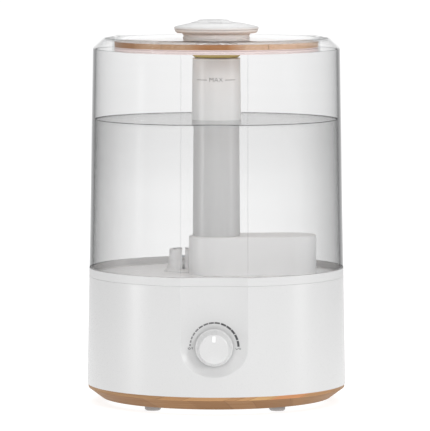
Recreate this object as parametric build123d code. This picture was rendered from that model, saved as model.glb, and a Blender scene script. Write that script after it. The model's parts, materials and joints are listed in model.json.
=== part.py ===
from build123d import *
import math
import os

# Top-fill ultrasonic cool mist humidifier. Millimetres, +Z up.
# The origin is on the tank axis, on the surface that the feet stand on. The knob faces -Y.

# ---------------------------------------------------------------- driving dimensions
FOOT_R, FOOT_H = 6.3, 5.6
FOOT_X, FOOT_Y = 49.0, 63.0
FEET = [(-FOOT_X, -FOOT_Y), (FOOT_X, -FOOT_Y), (-FOOT_X, FOOT_Y), (FOOT_X, FOOT_Y), (0.0, 0.0)]

WOOD_Z0, WOOD_Z1, WOOD_Z2 = 4.0, 12.0, 14.8      # chamfer bottom, chamfer top, band top
WOOD_R0, WOOD_R1, WOOD_R2 = 91.8, 102.6, 102.9
WOOD_BORE, WOOD_SHELF_Z, WOOD_SHELF_R = 88.0, 7.0, 84.5

BODY_R0 = 103.382                                 # outer radius at the bottom of the white shell
DRAFT = 0.01818                                   # radius lost per mm of height
SHELL_T = 2.6
SHELL_TOP = 101.0
LEDGE_Z, LEDGE_R = 94.0, 94.0                     # shelf that carries the basin

RIM_Z0, RIM_Z1 = 101.1, 107.8                     # white rim of the tank bottom
FLOOR_T, FLOOR_TOP = 2.6, 102.2                     # the floor lies below the rim
SPIGOT_R0, SPIGOT_R1 = 92.6, 95.2

TANK_T = 2.6
SHOULDER_Z, LIP_Z, LIP_R, LIP_T, MOUTH_R = 283.4, 291.2, 90.2, 2.8, 83.5

FLUTE_D, FLUTE_R = 7.4, 88.0                      # depth and concave radius of the front flute
BOWL_H = 21.5                                     # how far below the knob's axis the flute ends
BOWL_R = (BOWL_H ** 2 + FLUTE_D ** 2) / (2 * FLUTE_D)
BOWL_TURN = -1                                    # sense of the bowl's turn about X
CREASE = 1.2                                      # rounding of the flute's long edges
KNOB_Z = 53.4                                     # height of the knob, where the flute ends in a bowl

CH_X, CH_Y, CH_R, CH_T, CH_TOP, CH_BOT = 58.0, 8.0, 22.0, 2.0, 133.0, 92.0   # mist chamber
TUBE_TOP, TUBE_RB, TUBE_RT, TUBE_T = 230.0, 19.0, 18.2, 1.6
SLEEVE_Z0, SLEEVE_Z1, SLEEVE_RB, SLEEVE_RT = 221.5, 274.9, 19.7, 19.0

VALVE_X, VALVE_Y = -26.8, 22.4
VALVE_R, VALVE_TOP, VALVE_GAP, VALVE_TURN = 11.7, 120.4, 2.4, 1.5      # guard round the fill valve and its slots
VALVE_TRAVEL = 3.0

BASIN_Z0, BASIN_T, BASIN_TOP, BASIN_RB, BASIN_RT = 68.0, 2.2, 97.0, 80.0, 88.5
TOWER_X, TOWER_Y, TOWER_R, TOWER_T, TOWER_TOP = 56.0, 8.0, 15.0, 2.2, 126.0
FLOAT_X, FLOAT_Y, FLOAT_R = -46.0, 34.0, 11.0
WELL_R = 19.0

FAN_X, FAN_Y, FAN_S, FAN_Z0, FAN_Z1 = 56.0, 8.0, 50.0, 20.0, 35.0
COVER_R, COVER_Z0, COVER_Z1 = 87.6, 4.4, 7.0
BOSSES = [(0, 80), (0, -80), (-80, 0), (60, 53), (60, -53)]
PCB_X0, PCB_X1, PCB_Y, PCB_Z, PCB_T = -72.0, 0.0, 26.0, 24.0, 1.6

KNOB_R, KNOB_FACE_R, KNOB_BACK, KNOB_FRONT, KNOB_DISH = 14.6, 11.6, 4.0, 17.2, 0.9
SHAFT_R = 3.0
JACK_Z = 30.0

LID_Z0, LID_R, LID_T = 280.0, 82.9, 1.5
LID_PLATE0, LID_PLATE1, LID_TOP, LID_FLANGE_R = 288.3, 291.0, 292.7, 84.8
LID_WOOD0, LID_WOOD1 = 284.0, 288.3
COLLAR_R = 16.2
NOZ_Z0, NOZ_R, NOZ_TOP = 295.0, 33.7, 306.2

C = Align.CENTER
LOW = (C, C, Align.MIN)


def wall_r(z):
    return BODY_R0 - DRAFT * (z - WOOD_Z2)


def rev(pts, x=0.0, y=0.0):
    """Solid of revolution about a vertical axis through (x, y) from (radius, z) points."""
    face = make_face(Polyline(*[(r, 0, z) for r, z in pts], close=True))
    return Pos(x, y, 0) * revolve(face, Axis.Z)


def cyl(r, z0, z1, x=0.0, y=0.0):
    return Pos(x, y, z0) * Cylinder(r, z1 - z0, align=LOW)


def ring(r0, r1, z0, z1, x=0.0, y=0.0):
    return cyl(r1, z0, z1, x, y) - cyl(r0, z0 - 1, z1 + 1, x, y)


def box(x0, x1, y0, y1, z0, z1):
    return Pos((x0 + x1) / 2, (y0 + y1) / 2, (z0 + z1) / 2) * Box(x1 - x0, y1 - y0, z1 - z0)


def ycyl(r, y0, y1, x, z):
    """Cylinder along Y between y0 and y1."""
    return Pos(x, y0, z) * Rot(-90, 0, 0) * Cylinder(r, y1 - y0, align=LOW)


def slot(r, z0, z1):
    """Prism with the rounded plan of the mist chamber."""
    length = math.hypot(CH_X, CH_Y)
    turn = math.degrees(math.atan2(CH_Y, CH_X))
    plan = SlotCenterToCenter(length, 2 * r)
    return Pos(CH_X / 2, CH_Y / 2, z0) * Rot(0, 0, turn) * extrude(plan, z1 - z0)


def edges_at(part, z, r_min=0.0, r_max=1e9, tol=0.05):
    """Edges that lie flat at height z with their farthest point between two radii."""
    out = []
    for e in part.edges():
        b = e.bounding_box()
        if abs(b.min.Z - z) < tol and abs(b.max.Z - z) < tol:
            far = max(abs(b.min.X), abs(b.max.X), abs(b.min.Y), abs(b.max.Y))
            if r_min <= far <= r_max:
                out.append(e)
    return out


def soften(part, edges, radius):
    """Rounds edges, or leaves them sharp where the round doesn't fit."""
    if not edges:
        return part
    try:
        new = fillet(edges, radius)
        return new if new.is_valid and abs(new.volume) > 0 else part
    except Exception:
        return part


def less(whole, tool):
    """whole minus tool, where the tool has to take something away."""
    left = whole - tool
    if not left.is_valid or left.volume > whole.volume - 1.0:
        raise ValueError("a cut took nothing away")
    return left


def creases(part):
    """The long edges where the front flute meets the outer wall."""
    found = []
    for e in part.edges():
        m, b = e.position_at(0.5), e.bounding_box()
        if m.Y < -80 and b.max.Z - b.min.Z > 3 and abs(math.hypot(m.X, m.Y) - wall_r(m.Z)) < 0.2:
            found.append(e)
    return found


def out(shape, name):
    shape.label = name
    export_step(shape, "parts/" + name + ".step")


os.makedirs("parts", exist_ok=True)

# ---------------------------------------------------------------- the front flute
KNOB_WALL = wall_r(KNOB_Z)
FLUTE_Y = -(KNOB_WALL + FLUTE_R - FLUTE_D)        # centre line of the flute at the knob's height
FLUTE_FLOOR = -(KNOB_WALL - FLUTE_D)              # flute floor at the knob's height
LEAN = math.atan(DRAFT)


def flute(extra=0.0, length=300.0):
    """Bar that cuts the flute: it follows the wall's draft and ends in a round bowl at the knob."""
    r = FLUTE_R + extra
    pivot = BOWL_R - FLUTE_R                       # axis that the bowl turns about
    half = 40.0
    edge = -math.sqrt(r * r - half * half)
    section = make_face([
        Polyline((half, 0, edge), (half, 0, pivot), (-half, 0, pivot), (-half, 0, edge)),
        ThreePointArc((-half, 0, edge), (0, 0, -r), (half, 0, edge)),
    ])
    body = extrude(section, length, dir=(0, 1, 0)) + revolve(section, Axis((0, 0, pivot), (BOWL_TURN, 0, 0)), 90)
    c, s = math.cos(LEAN), math.sin(LEAN)
    plane = Plane(origin=(0, FLUTE_Y, KNOB_Z), x_dir=(1, 0, 0), z_dir=(0, -c, s))
    return plane.location * body


def flute_here(extra, z0, z1):
    """Upright stretch of the same rod, for rings too low to show the draft."""
    return cyl(FLUTE_R + extra, z0, z1, 0, FLUTE_Y + DRAFT * ((z0 + z1) / 2 - KNOB_Z))


# ---------------------------------------------------------------- base: outside
shell = rev([(0, WOOD_Z2), (BODY_R0, WOOD_Z2), (wall_r(SHELL_TOP), SHELL_TOP), (0, SHELL_TOP)])
shell = less(shell, flute())
shell = soften(shell, creases(shell), CREASE)
hollow = rev([(0, WOOD_Z2 - 1), (wall_r(WOOD_Z2 - 1) - SHELL_T, WOOD_Z2 - 1),
              (wall_r(SHELL_TOP + 1) - SHELL_T, SHELL_TOP + 1), (0, SHELL_TOP + 1)])
shell = shell - less(hollow, flute(SHELL_T))
ledge = rev([(LEDGE_R, 92.0), (LEDGE_R, LEDGE_Z), (wall_r(LEDGE_Z) - 1.2, LEDGE_Z), (wall_r(88.0) - 1.2, 88.0), (wall_r(88.0) - SHELL_T, 88.0)])
shell = shell + less(ledge, flute_here(SHELL_T - 1.2, 84, 98))
for bx, by in BOSSES:
    rad = math.hypot(bx, by)
    turn = math.degrees(math.atan2(by, bx))
    rib = Rot(0, 0, turn) * box(rad, 101.5, -1.5, 1.5, WOOD_Z2 + 0.3, 22.0)
    shell = shell + (cyl(4.0, COVER_Z1, 22.0, bx, by) + rib)
for bx, by in BOSSES:
    shell = shell - cyl(1.45, COVER_Z1 - 1, 19.0, bx, by)
shell = shell - ycyl(4.0, FLUTE_FLOOR - 8, FLUTE_FLOOR + 8, 0, KNOB_Z)
shell = shell - ycyl(5.2, 90, 110, 0, JACK_Z)
out(shell, "base_shell")

wood = rev([
    (WOOD_SHELF_R, WOOD_SHELF_Z), (WOOD_BORE, WOOD_SHELF_Z), (WOOD_BORE, WOOD_Z0), (WOOD_R0, WOOD_Z0),
    (WOOD_R1, WOOD_Z1), (WOOD_R2, WOOD_Z2), (WOOD_R2 - 2.7, WOOD_Z2), (WOOD_R2 - 2.7, WOOD_Z2 - 1.0), (WOOD_SHELF_R, WOOD_Z2 - 1.0),
])
wood = soften(wood, edges_at(wood, WOOD_Z0, 91, 93), 0.6)
wood = soften(wood, edges_at(wood, WOOD_Z1, 102, 103), 0.5)
out(wood, "plinth_wood_ring")

cover = cyl(COVER_R, COVER_Z0, COVER_Z1)
for fx, fy in FEET:
    cover = cover - cyl(FOOT_R + 0.1, COVER_Z0 - 1, FOOT_H, fx, fy)
for sx in (-1, 1):
    for sy in (-1, 1):
        cover = cover + cyl(3.0, COVER_Z1, PCB_Z, -36 + sx * 32, sy * 22)
        cover = cover + cyl(3.2, COVER_Z1, FAN_Z0, FAN_X + sx * 20, FAN_Y + sy * 20)
for sx in (-1, 1):
    for sy in (-1, 1):
        cover = cover - cyl(1.15, 12, PCB_Z + 1, -36 + sx * 32, sy * 22)
        cover = cover - cyl(1.45, 10, FAN_Z0 + 1, FAN_X + sx * 20, FAN_Y + sy * 20)
for bx, by in BOSSES:
    cover = cover - cyl(1.7, COVER_Z0 - 1, COVER_Z1 + 1, bx, by) - cyl(3.4, COVER_Z0 - 1, 5.6, bx, by)
for i in range(-4, 5):
    half = math.sqrt(20.0 ** 2 - (4.4 * i) ** 2)
    cover = cover - box(FAN_X - half, FAN_X + half, FAN_Y + 4.4 * i - 1.1, FAN_Y + 4.4 * i + 1.1, 3, 8)
out(cover, "bottom_cover")

foot = [(0, 0), (FOOT_R - 1.0, 0), (FOOT_R, 1.0), (FOOT_R, FOOT_H), (0, FOOT_H)]
out(Compound(children=[rev(foot, fx, fy) for fx, fy in FEET]), "rubber_feet")

screws = []
for bx, by in BOSSES:
    s = cyl(3.1, 4.2, 5.6, bx, by) + cyl(1.4, 5.6, 18.0, bx, by)
    s = s - box(bx - 2.0, bx + 2.0, by - 0.4, by + 0.4, 4.0, 4.9) - box(bx - 0.4, bx + 0.4, by - 2.0, by + 2.0, 4.0, 4.9)
    screws.append(s)
out(Compound(children=screws), "cover_screws")

# ---------------------------------------------------------------- base: basin
B0, BT = BASIN_Z0, BASIN_T
basin = rev([
    (0, B0), (BASIN_RB, B0), (BASIN_RT, LEDGE_Z), (98.6, LEDGE_Z), (98.6, BASIN_TOP), (BASIN_RT - BT + 0.4, BASIN_TOP),
    (BASIN_RB - BT - 0.2, B0 + BT), (0, B0 + BT),
])
basin = less(basin, flute_here(SHELL_T + 0.6, 86, 102))
basin = basin - cyl(WELL_R + 0.05, B0 - 1, B0 + BT + 1)
basin = basin - cyl(TOWER_R + 0.05, 59.0, B0 + BT + 1, TOWER_X, TOWER_Y)
out(basin, "water_basin")
# cup over the ultrasonic element, let into the basin's floor and sealed there by its collar
well = cyl(WELL_R, 60.0, B0 + BT) + cyl(WELL_R + 2.5, B0 + BT, B0 + BT + 1.2) - cyl(WELL_R - 2.0, 64.0, B0 + BT + 2) - cyl(8.5, 59, 65)
for a in (90, 210, 330):
    px, py = 14.3 * math.cos(math.radians(a)), 14.3 * math.sin(math.radians(a))
    well = well - cyl(1.15, 59, 63.2, px, py)
out(well, "mist_well")
# the float's stem with its three rests, and the pin that opens the tank's valve
stem = cyl(8.0, B0 + BT, B0 + BT + 0.8, FLOAT_X, FLOAT_Y) + cyl(2.5, B0 + BT, 92.5, FLOAT_X, FLOAT_Y)
for a in (0, 120, 240):
    stem = stem + Pos(FLOAT_X, FLOAT_Y, 0) * Rot(0, 0, a) * box(5.5, 7.5, -0.8, 0.8, B0 + BT, 71.4)
pin = cyl(2.8, B0 + BT, FLOOR_TOP - 14.4, VALVE_X, VALVE_Y)
for a in (0, 90, 180, 270):
    pin = pin + Pos(VALVE_X, VALVE_Y, 0) * Rot(0, 0, a) * box(0, 4.0, -0.7, 0.7, B0 + BT, FLOOR_TOP - 19.4)
out(Compound(children=[stem, pin]), "basin_posts")
# air tower, pushed through the basin's floor and sealed there by a collar
tower = cyl(TOWER_R, 60.0, TOWER_TOP, TOWER_X, TOWER_Y) + cyl(TOWER_R + 3.0, B0 + BT, B0 + BT + 1.6, TOWER_X, TOWER_Y)
tower = tower - cyl(TOWER_R - TOWER_T, 59.0, TOWER_TOP - 2.0, TOWER_X, TOWER_Y)
tower = tower - box(TOWER_X - 20, TOWER_X + 20, TOWER_Y - 5, TOWER_Y + 5, 108, 122)
tower = tower - box(TOWER_X - 5, TOWER_X + 5, TOWER_Y - 20, TOWER_Y + 20, 108, 122)
out(tower, "air_tower")

# ultrasonic element, clamped under a hole in the well of the basin
out(cyl(10.0, 58.5, 59.8), "piezo_disc")
seal = rev([(8.3, 57.4), (12.0, 57.4), (12.0, 60.0), (8.3, 60.0), (8.3, 59.8), (10.0, 59.8), (10.0, 58.5), (8.3, 58.5)])
out(seal, "piezo_seal")
clamp = cyl(17.2, 51.0, 60.0) - cyl(12.05, 57.4, 61.0) - cyl(8.0, 50, 60)
for a in range(0, 360, 20):
    if min(abs((a - h + 180) % 360 - 180) for h in (90, 210, 330)) > 15:
        clamp = clamp - Rot(0, 0, a) * box(14.6, 18.0, -1.0, 1.0, 50, 57.0)
clamp_screws = []
for a in (90, 210, 330):
    px, py = 14.3 * math.cos(math.radians(a)), 14.3 * math.sin(math.radians(a))
    clamp = clamp - cyl(1.35, 50, 61, px, py)
    s = cyl(2.2, 49.5, 51.0, px, py) + cyl(1.1, 51.0, 62.6, px, py)
    clamp_screws.append(s - box(px - 1.5, px + 1.5, py - 0.3, py + 0.3, 49, 50.1))
out(clamp, "piezo_clamp")
out(Compound(children=clamp_screws), "clamp_screws")

# level float
out(rev([(2.85, 71.4), (FLOAT_R - 1, 71.4), (FLOAT_R, 72.4), (FLOAT_R, 81.0), (FLOAT_R - 1, 82.0), (6.0, 82.0), (6.0, 75.0),
         (2.85, 75.0)], FLOAT_X, FLOAT_Y), "float_body")
out(ring(2.9, 5.9, 75.0, 79.0, FLOAT_X, FLOAT_Y), "float_magnet")
out(rev([(0, 92.5), (0, 93.7), (4.6, 93.7), (4.6, 90.5), (2.55, 90.5), (2.55, 92.5)], FLOAT_X, FLOAT_Y), "float_cap")
out(box(FLOAT_X - 7, FLOAT_X + 7, FLOAT_Y - 4, FLOAT_Y + 4, 64.8, B0), "level_sensor")

# ---------------------------------------------------------------- base: electronics and fan
board = box(PCB_X0, PCB_X1, -PCB_Y, PCB_Y, PCB_Z, PCB_Z + PCB_T)
board_screws = []
for sx in (-1, 1):
    for sy in (-1, 1):
        px, py = -36 + sx * 32, sy * 22
        board = board - cyl(1.4, PCB_Z - 1, PCB_Z + 3, px, py)
        s = cyl(2.4, PCB_Z + PCB_T, PCB_Z + PCB_T + 1.6, px, py) + cyl(1.1, 16, PCB_Z + PCB_T, px, py)
        board_screws.append(s - box(px - 1.6, px + 1.6, py - 0.3, py + 0.3, PCB_Z + PCB_T + 0.9, PCB_Z + 4))
out(board, "driver_board")
out(Compound(children=board_screws), "board_screws")
ZB = PCB_Z + PCB_T
sink = box(-60, -36, -12, 14, ZB, ZB + 4)
for i in range(6):
    sink = sink + box(-60 + i * 4.4, -58 + i * 4.4, -12, 14, ZB + 4, ZB + 18)
out(sink, "board_heatsink")
caps = [cyl(4.0, ZB, ZB + 14, -12, 12), cyl(4.0, ZB, ZB + 14, -22, 12), cyl(5.0, ZB, ZB + 16, -17, -14)]
out(Compound(children=caps), "board_capacitors")
coil = box(-31, -19, -6, 6, ZB, ZB + 2) + cyl(3.0, ZB + 2, ZB + 9, -25, 0) + cyl(5.6, ZB + 9, ZB + 11, -25, 0)
out(coil, "board_inductor")
out(ring(3.0, 5.2, ZB + 2, ZB + 9, -25, 0), "inductor_winding")
plugs = [box(-58, -46, -25, -18, ZB, ZB + 7), box(-40, -30, -25, -18, ZB, ZB + 7), box(-24, -12, -25, -20, ZB, ZB + 7),
         box(-54, -40, 18, 25, ZB, ZB + 7), box(-32, -22, 18, 25, ZB, ZB + 7)]
out(Compound(children=plugs), "board_connectors")

frame = Pos(FAN_X, FAN_Y, FAN_Z0) * Box(FAN_S, FAN_S, FAN_Z1 - FAN_Z0, align=LOW)
frame = soften(frame, frame.edges().filter_by(Axis.Z), 3.0)
frame = frame - cyl(23.4, FAN_Z0 - 1, FAN_Z1 + 1, FAN_X, FAN_Y)
frame = frame + cyl(11.0, FAN_Z0, FAN_Z0 + 2.0, FAN_X, FAN_Y)
for a in (45, 135, 225, 315):
    frame = frame + Pos(FAN_X, FAN_Y, 0) * Rot(0, 0, a) * box(10.5, 24.0, -1.5, 1.5, FAN_Z0, FAN_Z0 + 2.0)
frame = frame + cyl(3.2, FAN_Z0 + 2.0, FAN_Z0 + 10.0, FAN_X, FAN_Y)
frame = frame - cyl(1.54, FAN_Z0 + 0.8, FAN_Z0 + 11, FAN_X, FAN_Y)
fan_screws = []
for sx in (-1, 1):
    for sy in (-1, 1):
        px, py = FAN_X + sx * 20, FAN_Y + sy * 20
        frame = frame - cyl(1.8, FAN_Z0 - 1, FAN_Z1 + 1, px, py)
        frame = frame - cyl(3.1, FAN_Z1 - 2.6, FAN_Z1 + 1, px, py)
        s = cyl(2.9, FAN_Z1 - 2.6, FAN_Z1 - 0.6, px, py) + cyl(1.4, 12.0, FAN_Z1 - 2.6, px, py)
        fan_screws.append(s - box(px - 1.9, px + 1.9, py - 0.35, py + 0.35, FAN_Z1 - 1.4, FAN_Z1))
out(frame, "fan_frame")
out(Compound(children=fan_screws), "fan_screws")
stator = ring(3.25, 8.6, FAN_Z0 + 3.2, FAN_Z0 + 9.0, FAN_X, FAN_Y)
for a in (0, 90, 180, 270):
    stator = stator - Pos(FAN_X, FAN_Y, 0) * Rot(0, 0, a + 45) * box(5.4, 9.5, -0.9, 0.9, FAN_Z0, FAN_Z0 + 12)
out(stator, "fan_stator")

rotor = cyl(11.6, FAN_Z0 + 2.8, FAN_Z1 - 1.2, FAN_X, FAN_Y) - cyl(10.0, FAN_Z0 + 2.0, FAN_Z1 - 3.0, FAN_X, FAN_Y)
blade_zone = ring(11.0, 22.7, FAN_Z0 + 2.8, FAN_Z1 - 1.2, FAN_X, FAN_Y)
for i in range(7):
    blade = Rot(0, 0, i * 360 / 7) * Pos(17.0, 0, (FAN_Z0 + FAN_Z1) / 2 + 0.8) * Rot(36, 0, 0) * Box(14.0, 15.0, 1.3)
    rotor = rotor + ((Pos(FAN_X, FAN_Y, 0) * blade) & blade_zone)
rotor = rotor + cyl(1.5, FAN_Z0 + 1.2, FAN_Z1 - 2.0, FAN_X, FAN_Y)
out(rotor, "fan_rotor")

duct = Pos(FAN_X, FAN_Y, FAN_Z1) * Box(FAN_S, FAN_S, 2.0, align=LOW)
duct = duct + rev([(0, FAN_Z1 + 1), (25.0, FAN_Z1 + 1), (25.0, FAN_Z1 + 2), (17.0, 58.0), (17.0, 66.0), (0, 66.0)], FAN_X, FAN_Y)
duct = duct - rev([(0, FAN_Z1 - 1), (23.4, FAN_Z1 - 1), (23.4, FAN_Z1 + 2), (15.05, 58.0), (15.05, 67.0), (0, 67.0)], FAN_X, FAN_Y)
out(duct, "air_duct")
out(box(FAN_X - 16.5, FAN_X + 16.5, FAN_Y - 16.5, FAN_Y + 16.5, COVER_Z1, COVER_Z1 + 6), "intake_filter")

POT_Y = FLUTE_FLOOR + SHELL_T + 0.3
pot = box(-8, 8, POT_Y, POT_Y + 10, KNOB_Z - 8, KNOB_Z + 8)
pot = soften(pot, pot.edges().filter_by(Axis.Y), 2.0)
pot = pot + ycyl(3.7, FLUTE_FLOOR - 3.2, POT_Y + 1, 0, KNOB_Z)
for i in (-1, 0, 1):
    pot = pot + box(i * 5 - 0.8, i * 5 + 0.8, POT_Y + 5, POT_Y + 5.8, KNOB_Z - 13, KNOB_Z - 7)
pot = pot - ycyl(SHAFT_R + 0.05, FLUTE_FLOOR - 4, POT_Y + 8.5, 0, KNOB_Z)
out(pot, "potentiometer")
hexa = extrude(Plane(origin=(0, FLUTE_FLOOR - 0.3, KNOB_Z), x_dir=(1, 0, 0), z_dir=(0, -1, 0)) * RegularPolygon(5.8, 6), 2.0)
nut = hexa - ycyl(3.75, FLUTE_FLOOR - 6, FLUTE_FLOOR + 2, 0, KNOB_Z)
out(nut, "pot_nut")

JACK_WALL = wall_r(JACK_Z)
jack = box(-7, 7, JACK_WALL - 16, JACK_WALL - 3.0, JACK_Z - 6, JACK_Z + 6)
jack = jack + ycyl(5.0, JACK_WALL - 4, JACK_WALL - 0.35, 0, JACK_Z)
jack = jack - ycyl(3.15, JACK_WALL - 11, JACK_WALL + 2, 0, JACK_Z)
jack = jack + ycyl(1.05, JACK_WALL - 12, JACK_WALL - 1.8, 0, JACK_Z)
out(jack, "dc_inlet")


def wire(pts, r, bend):
    """Round lead along straight runs joined by tangent arcs."""
    path = FilletPolyline(*pts, radius=bend)
    start = Plane(origin=path @ 0, z_dir=path % 0)
    return sweep(start * Circle(r), path)


JB = JACK_WALL - 16
LEAD1, LEAD2, LEAD3, LEAD4 = ZB + 1.6, ZB + 2.4, ZB + 3.6, ZB + 5.6      # heights of the crossing leads
out(Compound(children=[
    wire([(-48, 25, LEAD2), (-48, 58, LEAD2), (-2.5, 58, LEAD2), (-2.5, JB, LEAD2)], 0.9, 8),
    wire([(-44, 25, LEAD2), (-44, 52, LEAD2), (2.5, 52, LEAD2), (2.5, JB, LEAD2)], 0.9, 8),
]), "inlet_leads")
PB = POT_Y + 10
out(Compound(children=[
    wire([(-36, -25, LEAD1), (-36, -52, LEAD1), (-4, -52, LEAD1), (-4, -52, 52), (-4, PB, 52)], 0.8, 6),
    wire([(-33, -25, LEAD1), (-33, -46, LEAD1), (4, -46, LEAD1), (4, -46, 52), (4, PB, 52)], 0.8, 6),
]), "dial_leads")
out(Compound(children=[
    wire([(-54, -25, LEAD4), (-54, -34, LEAD4), (-2, -34, LEAD4), (-2, -34, 47), (-2, 0, 47), (-2, 0, 58.5)], 0.8, 4),
    wire([(-50, -25, LEAD4), (-50, -30, LEAD4), (3, -30, LEAD4), (3, -30, 44), (3, 3, 44), (3, 3, 58.5)], 0.8, 2.4),
]), "piezo_leads")
out(Compound(children=[
    wire([(-20, -25, LEAD3), (-20, -40, LEAD3), (48, -40, LEAD3), (48, FAN_Y - 25, LEAD3)], 0.8, 7),
    wire([(-16, -25, LEAD3), (-16, -37, LEAD3), (44, -37, LEAD3), (44, FAN_Y - 25, LEAD3)], 0.8, 6),
]), "fan_leads")
out(Compound(children=[
    wire([(-29, 25, LEAD4), (-29, 46, LEAD4), (-44, 46, LEAD4), (-44, 46, 66), (-44, 38, 66)], 0.7, 4),
    wire([(-26, 25, LEAD4), (-26, 50, LEAD4), (-48, 50, LEAD4), (-48, 50, 66), (-48, 38, 66)], 0.7, 4),
]), "sensor_leads")

# ---------------------------------------------------------------- knob
def knob_rev(pts):
    """Solid of revolution about the knob's axis from (radius, distance out from the flute floor) points."""
    face = make_face(Polyline(*[(r, FLUTE_FLOOR - d, KNOB_Z) for r, d in pts], close=True))
    return revolve(face, Axis((0, 0, KNOB_Z), (0, 1, 0)))


def dish(lift, rim, depth, back):
    """Disc behind the knob's dished face, raised by lift."""
    top = KNOB_FRONT + lift
    arc = ThreePointArc((0, FLUTE_FLOOR - (top - depth), KNOB_Z), (rim / 2, FLUTE_FLOOR - (top - 0.75 * depth), KNOB_Z),
                        (rim, FLUTE_FLOOR - top, KNOB_Z))
    line = Polyline((rim, FLUTE_FLOOR - top, KNOB_Z), (rim, FLUTE_FLOOR - back, KNOB_Z), (0, FLUTE_FLOOR - back, KNOB_Z),
                    (0, FLUTE_FLOOR - (top - depth), KNOB_Z))
    return revolve(make_face([arc, line]), Axis((0, 0, KNOB_Z), (0, 1, 0)))


KNOB_RIM = KNOB_FACE_R - 0.9
knob = knob_rev([
    (0, KNOB_FRONT - 1.8), (KNOB_RIM, KNOB_FRONT - 1.8), (KNOB_RIM, KNOB_FRONT), (KNOB_FACE_R - 0.3, KNOB_FRONT - 0.25),
    (KNOB_FACE_R, KNOB_FRONT - 0.8),
    (KNOB_R - 0.75, KNOB_BACK + 2.2), (KNOB_R, KNOB_BACK + 1.6), (KNOB_R, KNOB_BACK),
    (12.7, KNOB_BACK), (10.2, 14.0), (5.4, 14.0), (5.4, 5.0), (SHAFT_R + 0.04, 5.0), (SHAFT_R + 0.04, 14.2), (0, 14.2),
])
knob = knob + dish(0, KNOB_RIM, KNOB_DISH, KNOB_FRONT - 1.9)
MARK_Y = FLUTE_FLOOR - KNOB_FRONT
knob = knob - box(-1.25, 1.25, MARK_Y - 1, MARK_Y + 1.4, KNOB_Z + 5.55, KNOB_Z + 10.25)
out(knob, "knob")
out(box(-1.2, 1.2, MARK_Y - 1, MARK_Y + 1.4, KNOB_Z + 5.6, KNOB_Z + 10.2) & dish(0.06, KNOB_RIM, KNOB_DISH, KNOB_FRONT - 2.0), "knob_pointer")
out(ycyl(SHAFT_R, FLUTE_FLOOR - 14.0, POT_Y + 8.0, 0, KNOB_Z), "dial_shaft")

# ---------------------------------------------------------------- tank
RIM_R = wall_r((RIM_Z0 + RIM_Z1) / 2)
RIM_CY = FLUTE_Y + DRAFT * ((RIM_Z0 + RIM_Z1) / 2 - KNOB_Z)


def rim(inset, r_out, z0, z1, r_in=0.0):
    """Prism with the fluted outline of the tank, or a ring of it."""
    plan = Circle(r_out) - Pos(0, RIM_CY) * Circle(FLUTE_R + inset)
    if not inset:
        plan = fillet([v for v in plan.vertices() if abs(v.X) > 20 and v.Y < 0], CREASE)
    if r_in:
        plan = plan - Circle(r_in)
    return Pos(0, 0, z0) * extrude(plan, z1 - z0)


V = FLOOR_TOP
floor_ = rim(0, RIM_R, RIM_Z0, RIM_Z1) - rim(TANK_T, RIM_R - TANK_T, V, RIM_Z1 + 1)
floor_ = floor_ + rim(TANK_T + 0.6, RIM_R - TANK_T - 0.6, V - FLOOR_T, RIM_Z0 + 0.2)
floor_ = floor_ + rim(TANK_T + 0.8, SPIGOT_R1, BASIN_TOP, V - FLOOR_T + 0.5, SPIGOT_R0)
floor_ = floor_ - slot(CH_R + 0.03, 90, 120)
port = ring(7.2, 9.2, V - 8.4, V - 1.0)
for a in (30, 150, 270):
    port = port + Rot(0, 0, a) * box(3.0, 8.2, -0.9, 0.9, V - 8.0, V - 5.0)
port = port + ring(2.3, 4.0, V - 8.0, V - 5.0)
floor_ = floor_ - cyl(8.0, V - 8, V + 2, VALVE_X, VALVE_Y)
floor_ = floor_ + Pos(VALVE_X, VALVE_Y, 0) * (port + ring(5.6, 8.6, V - FLOOR_T, V))
out(floor_, "tank_floor")

T = TANK_T
wall = rev([(0, RIM_Z1), (wall_r(RIM_Z1), RIM_Z1), (wall_r(SHOULDER_Z), SHOULDER_Z), (LIP_R, LIP_Z), (0, LIP_Z)])
wall = less(wall, flute())
wall = soften(wall, creases(wall), CREASE)
wall = soften(wall, edges_at(wall, SHOULDER_Z, 90, 110), 1.0)
wall = soften(wall, edges_at(wall, LIP_Z, 85, 110), 0.8)
run, rise = wall_r(SHOULDER_Z) - LIP_R, LIP_Z - SHOULDER_Z
side = math.hypot(run, rise)
nx, nz = -rise / side * T, -run / side * T        # inward offset of the shoulder
slope = run / rise
t0 = (wall_r(SHOULDER_Z) + nx - (wall_r(SHOULDER_Z + nz) - T)) / (slope - DRAFT)
zi = SHOULDER_Z + nz + t0
ri = wall_r(zi) - T
rl = wall_r(SHOULDER_Z) + nx - slope * (LIP_Z - LIP_T - SHOULDER_Z - nz)
void = rev([(0, RIM_Z1 - 1), (wall_r(RIM_Z1 - 1) - T, RIM_Z1 - 1), (ri, zi), (rl, LIP_Z - LIP_T), (MOUTH_R, LIP_Z - LIP_T),
            (MOUTH_R, LIP_Z + 1), (0, LIP_Z + 1)])
wall = less(wall, less(void, flute(T)))
out(wall, "tank_wall")

chamber = slot(CH_R, CH_BOT, CH_TOP)
chamber = soften(chamber, edges_at(chamber, CH_TOP), 1.5)
chamber = chamber + slot(CH_R + 2.5, FLOOR_TOP - FLOOR_T - 1.6, FLOOR_TOP - FLOOR_T)
chamber = chamber - slot(CH_R - CH_T, CH_BOT - 1, CH_TOP - 2.0)
chamber = chamber + cyl(17.2, CH_TOP - 1, CH_TOP + 6.0) - cyl(15.5, CH_TOP - 4, CH_TOP + 8)
out(chamber, "mist_chamber")

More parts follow.
